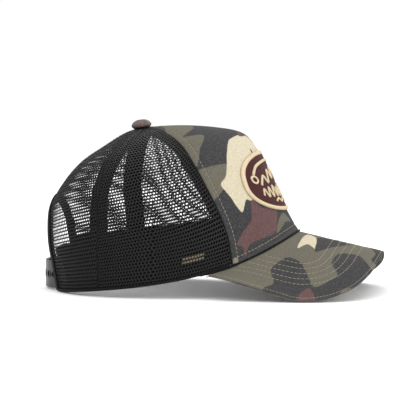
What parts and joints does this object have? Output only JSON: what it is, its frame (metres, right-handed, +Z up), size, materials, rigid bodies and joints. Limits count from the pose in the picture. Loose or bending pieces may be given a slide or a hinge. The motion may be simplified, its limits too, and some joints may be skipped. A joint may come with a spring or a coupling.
{
  "type": "trucker mesh cap",
  "caption": "Baseball-style cap with camouflage front and curved bill, open mesh sides and back, oval patch and a snap strap closure.",
  "frame": {"origin": "centre of the cap's footprint on the surface that it stands on", "axes": "+X towards the tip of the bill, +Y towards the wearer's left, +Z up through the button"},
  "size_m": [0.2746, 0.1708, 0.1368],
  "materials": {
    "camo_cloth": "brushed cotton twill printed in charcoal, olive, cream and maroon camouflage",
    "liner": "stiff open-weave buckram",
    "black_mesh": "knitted polyester mesh with oval holes",
    "black_cloth": "woven cotton tape, matt",
    "board_plastic": "moulded sheet",
    "strap_plastic": "satin moulded plastic",
    "patch_cloth": "dense embroidered field",
    "cream_thread": "satin-stitched thread",
    "rivet_metal": "plain"
  },
  "bodies": {
    "cap": {"front_panel": "camo_cloth", "front_buckram": "liner", "side_mesh_left": "black_mesh", "side_mesh_right": "black_mesh", "back_mesh_left": "black_mesh", "back_mesh_right": "black_mesh", "seam_tape_front_left": "black_cloth", "seam_tape_front_right": "black_cloth", "seam_tape_side_left": "black_cloth", "seam_tape_side_right": "black_cloth", "seam_tape_back": "black_cloth", "sweatband": "black_cloth", "hem_binding_left": "black_cloth", "hem_binding_right": "black_cloth", "arch_binding": "black_cloth", "woven_tag": "cream_thread", "brim_board": "board_plastic", "brim_top_cover": "camo_cloth", "brim_under_cover": "camo_cloth", "brim_piping": "black_cloth", "button_cover": "camo_cloth", "button_rivet": "rivet_metal", "patch_base": "patch_cloth", "patch_border": "cream_thread", "motif_peaks": "cream_thread", "motif_wave": "cream_thread", "strap_tongue_left": "strap_plastic", "strap_tongue_right": "strap_plastic"},
    "outer_strap": {"hole_strap": "strap_plastic"},
    "inner_strap": {"peg_strap": "strap_plastic"}
  },
  "joints": [
    {"name": "outer_strap_swing", "type": "hinge", "parent": "cap", "child": "outer_strap", "pos_m": [-0.11891, -0.0315, 0.0123], "axis": [0, 0, 1], "range_deg": [0, 30], "stiffness_Nm_per_rad": 0.02},
    {"name": "inner_strap_swing", "type": "hinge", "parent": "cap", "child": "inner_strap", "pos_m": [-0.11891, 0.0315, 0.0123], "axis": [0, 0, 1], "range_deg": [0, 55], "stiffness_Nm_per_rad": 0.02}
  ]
}
